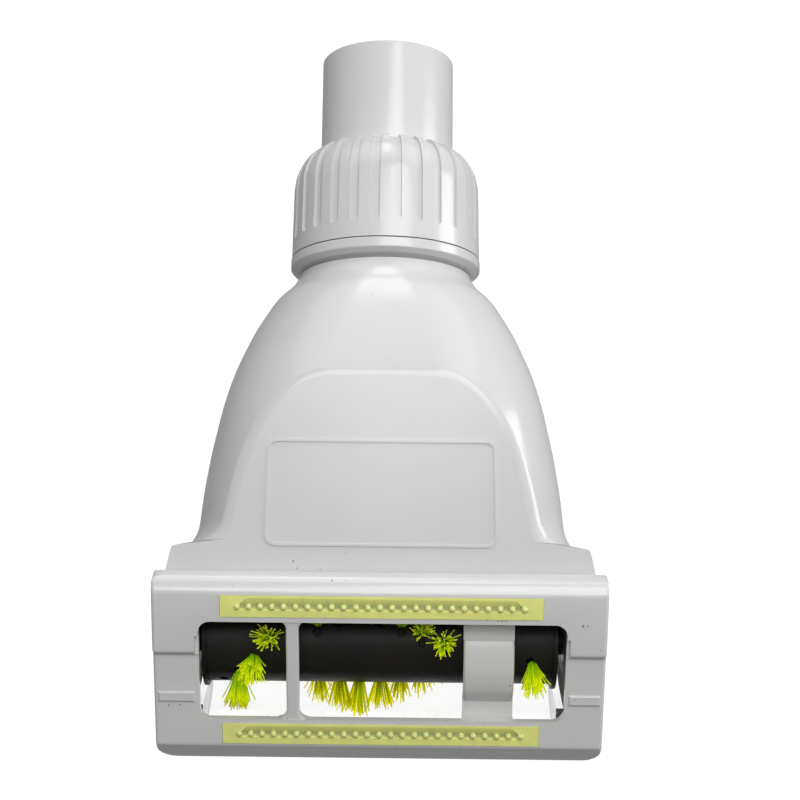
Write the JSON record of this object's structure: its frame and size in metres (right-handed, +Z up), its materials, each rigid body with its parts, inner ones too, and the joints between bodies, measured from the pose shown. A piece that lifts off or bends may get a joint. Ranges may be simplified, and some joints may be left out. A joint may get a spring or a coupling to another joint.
{
  "type": "vacuum floor brush head",
  "caption": "Air-driven vacuum brush head: a bristled roller in a windowed sole, turned by a belt from a turbine in a bell-shaped body with a fluted swivel neck.",
  "frame": {"origin": "bottom centre of the bounding box, on the surface that the head lies on", "axes": "+Z up from that surface; +Y from the nose to the tube; +X across the head, towards the belt guard. The head lies on its back, so the sole faces up and leans to -Y."},
  "size_m": [0.137, 0.2312, 0.0717],
  "materials": {
    "grey_plastic": "smooth moulded",
    "clear_plastic": "clear, polished",
    "strip_rubber": "soft, slightly see-through",
    "black_plastic": "fine texture",
    "bristle": "soft filaments",
    "steel": "ground",
    "belt_rubber": "matte",
    "inner_plastic": "moulded",
    "wheel_plastic": "moulded",
    "seal_felt": "felt"
  },
  "bodies": {
    "housing": {"lower_housing": "grey_plastic", "upper_housing": "grey_plastic", "sole_plate": "grey_plastic", "front_cover": "clear_plastic", "rear_lint_strip": "strip_rubber", "front_lint_strip": "strip_rubber", "neck_ring": "grey_plastic", "housing_screws": "steel", "roller_block_left": "inner_plastic", "roller_block_right": "inner_plastic", "roller_bearing_left": "steel", "roller_bearing_right": "steel", "turbine_wall_left": "inner_plastic", "turbine_wall_right": "inner_plastic", "turbine_bearing_left": "steel", "turbine_bearing_right": "steel", "air_baffle": "inner_plastic", "drive_belt": "belt_rubber"},
    "brush": {"brush_core": "black_plastic", "bristle_row_1": "bristle", "bristle_row_2": "bristle", "bristle_row_3": "bristle", "roller_axle": "steel", "roller_cap_left": "black_plastic", "roller_cap_right": "black_plastic"},
    "turbine": {"turbine_wheel": "wheel_plastic", "turbine_shaft": "steel", "turbine_pulley": "black_plastic"},
    "swivel_neck": {"swivel_collar": "grey_plastic", "neck_tube": "grey_plastic", "neck_seal": "seal_felt"}
  },
  "joints": [
    {"name": "brush_spin", "type": "hinge", "parent": "housing", "child": "brush", "pos_m": [0, -0.07876, 0.03011], "axis": [1, 0, 0], "continuous": true},
    {"name": "turbine_spin", "type": "hinge", "parent": "housing", "child": "turbine", "pos_m": [0, -0.01314, 0.03557], "axis": [1, 0, 0], "continuous": true},
    {"name": "neck_swivel", "type": "hinge", "parent": "housing", "child": "swivel_neck", "pos_m": [0, 0.04513, 0.0313], "axis": [0, 0.9989, 0.0469], "continuous": true}
  ],
  "couplings": [
    {"joint": "turbine_spin", "follows": "brush_spin", "ratio": 1.75}
  ]
}
